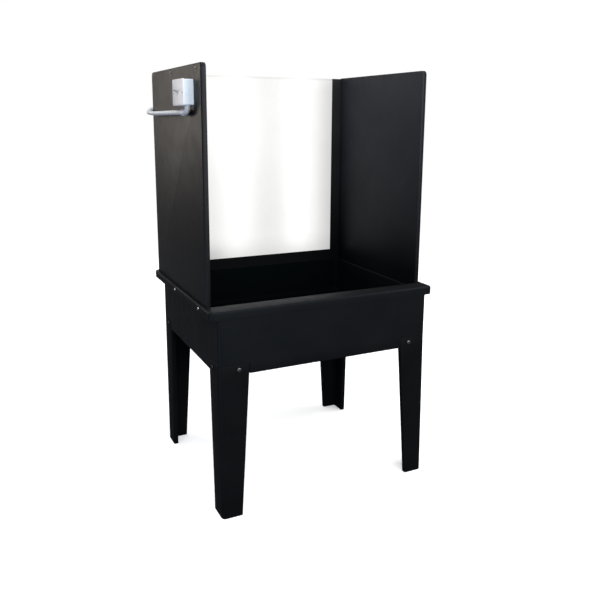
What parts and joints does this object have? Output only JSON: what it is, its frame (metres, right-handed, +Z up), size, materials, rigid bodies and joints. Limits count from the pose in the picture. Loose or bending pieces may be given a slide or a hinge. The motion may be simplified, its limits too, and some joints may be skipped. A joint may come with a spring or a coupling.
{
  "type": "backlit washout sink booth",
  "caption": "Moulded black sink on legs with side panels and a lit translucent back sheet, for rinsing screens and parts; surface switch box and conduit at one side.",
  "frame": {"origin": "middle of the whole object's box at floor level", "axes": "+Z up, the open front faces -Y, +X to the right of someone who stands at the front"},
  "size_m": [0.9166, 0.7786, 1.52],
  "materials": {
    "tank_plastic": "moulded, fine grain",
    "leg_plastic": "satin",
    "panel_plastic": "satin sheet",
    "trim_plastic": "satin",
    "diffuser_sheet": "opal, lit from behind",
    "leg_screw_steel": "plain",
    "rim_screw_steel": "bright",
    "top_screw_steel": "bright",
    "cover_screw_steel": "plain",
    "zinc_steel": "zinc plated",
    "housing_paint": "satin black",
    "reflector_paint": "gloss white",
    "ballast_paint": "satin",
    "lamp_glass": "phosphor coated, lit",
    "cap_aluminium": "plain",
    "holder_plastic": "white",
    "box_plastic": "light grey",
    "lever_plastic": "white",
    "fitting_plastic": "light grey",
    "conduit_plastic": "light grey, ribbed",
    "drain_plastic": "dark grey",
    "gasket_rubber": "plain",
    "strainer_steel": "satin"
  },
  "bodies": {
    "booth": {"tank": "tank_plastic", "leg_front_left": "leg_plastic", "leg_front_right": "leg_plastic", "leg_rear_left": "leg_plastic", "leg_rear_right": "leg_plastic", "leg_screws": "leg_screw_steel", "leg_nuts": "zinc_steel", "left_panel": "panel_plastic", "right_panel": "panel_plastic", "rim_screws": "rim_screw_steel", "top_screws": "top_screw_steel", "left_channel": "trim_plastic", "right_channel": "trim_plastic", "bottom_channel": "trim_plastic", "channel_screws": "zinc_steel", "diffuser_panel": "diffuser_sheet", "housing_left": "housing_paint", "housing_right": "housing_paint", "housing_top": "housing_paint", "housing_bottom": "housing_paint", "housing_screws": "zinc_steel", "rear_cover": "housing_paint", "rear_cover_screws": "zinc_steel", "reflector": "reflector_paint", "lamp_left": "lamp_glass", "lamp_middle": "lamp_glass", "lamp_right": "lamp_glass", "lamp_caps": "cap_aluminium", "lamp_holders": "holder_plastic", "ballast": "ballast_paint", "wireway_cover": "reflector_paint", "switch_box": "box_plastic", "box_screws": "zinc_steel", "switch_body": "holder_plastic", "lever_pin": "zinc_steel", "switch_cover": "box_plastic", "cover_screws": "cover_screw_steel", "elbow_connector": "fitting_plastic", "elbow_locknut": "zinc_steel", "conduit": "conduit_plastic", "rear_connector": "fitting_plastic", "rear_locknut": "zinc_steel", "supply_gland": "fitting_plastic", "drain_body": "drain_plastic", "drain_gasket": "gasket_rubber", "drain_locknut": "drain_plastic", "drain_tailpiece": "drain_plastic", "slip_nut": "drain_plastic"},
    "lever": {"switch_lever": "lever_plastic"},
    "strainer": {"drain_strainer": "strainer_steel"}
  },
  "joints": [
    {"name": "switch_throw", "type": "hinge", "parent": "booth", "child": "lever", "pos_m": [-0.43972, -0.16785, 1.431], "axis": [0, -1, 0], "range_deg": [0, 50]},
    {"name": "strainer_lift", "type": "slide", "parent": "booth", "child": "strainer", "axis": [0, 0, 1], "range_m": [0, 0.06]}
  ]
}
